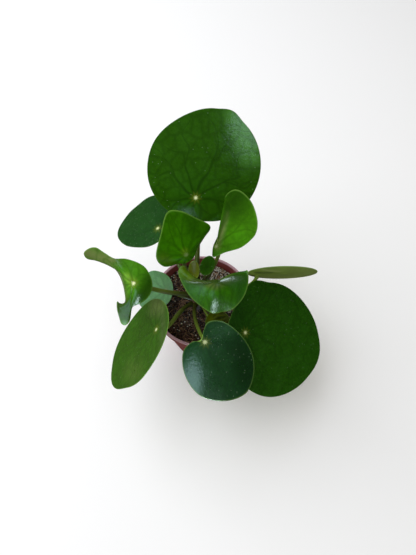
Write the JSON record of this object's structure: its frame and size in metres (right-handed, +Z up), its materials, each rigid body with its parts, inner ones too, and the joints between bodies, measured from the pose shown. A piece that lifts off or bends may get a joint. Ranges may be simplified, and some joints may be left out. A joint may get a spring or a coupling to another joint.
{
  "type": "potted chinese money plant",
  "caption": "Small potted houseplant: round shield-shaped leaves on long stalks fan out from a short stem in a tapered, lipped plastic pot of compost.",
  "frame": {"origin": "centre of the pot's flat base, on the surface that it stands on", "axes": "+Z up along the pot's axis; -Y towards the side that the picture is taken from; +X to the right as seen from there"},
  "size_m": [0.1959, 0.1946, 0.209],
  "materials": {
    "terracotta_plastic": "moulded terracotta-coloured plastic with a soft sheen",
    "peat_compost": "crumbly dark peat with pale fibres and grit, matt",
    "stem_bark": "brown, knobbly with old leaf scars, matt",
    "leaf_green": "fleshy mid-green leaf, waxy semi-gloss",
    "leaf_deep_green": "fleshy blue-green leaf with fine pale specks, waxy semi-gloss",
    "leaf_bright_green": "fleshy vivid green leaf, waxy semi-gloss",
    "leaf_pale_green": "fleshy leaf with a pale bluish sheen",
    "leaf_young": "young yellow-olive leaf, waxy",
    "leaf_stalk": "smooth juicy stalk, olive green, browner at the foot"
  },
  "bodies": {
    "root": {"pot": "terracotta_plastic", "soil": "peat_compost", "stem": "stem_bark", "back_big_blade": "leaf_green", "back_big_stalk": "leaf_stalk", "back_left_blade": "leaf_deep_green", "back_left_stalk": "leaf_stalk", "left_middle_blade": "leaf_bright_green", "left_middle_stalk": "leaf_stalk", "right_middle_blade": "leaf_bright_green", "right_middle_stalk": "leaf_stalk", "front_middle_blade": "leaf_bright_green", "front_middle_stalk": "leaf_stalk", "left_curled_blade": "leaf_bright_green", "left_curled_stalk": "leaf_stalk", "left_pale_blade": "leaf_pale_green", "left_pale_stalk": "leaf_stalk", "lower_left_blade": "leaf_green", "lower_left_stalk": "leaf_stalk", "bottom_blade": "leaf_deep_green", "bottom_stalk": "leaf_stalk", "right_big_blade": "leaf_green", "right_big_stalk": "leaf_stalk", "right_edge_blade": "leaf_green", "right_edge_stalk": "leaf_stalk", "young_front_blade": "leaf_young", "young_front_stalk": "leaf_stalk", "young_dark_blade": "leaf_green", "young_dark_stalk": "leaf_stalk", "young_yellow_blade": "leaf_young", "young_yellow_stalk": "leaf_stalk"}
  },
  "joints": []
}
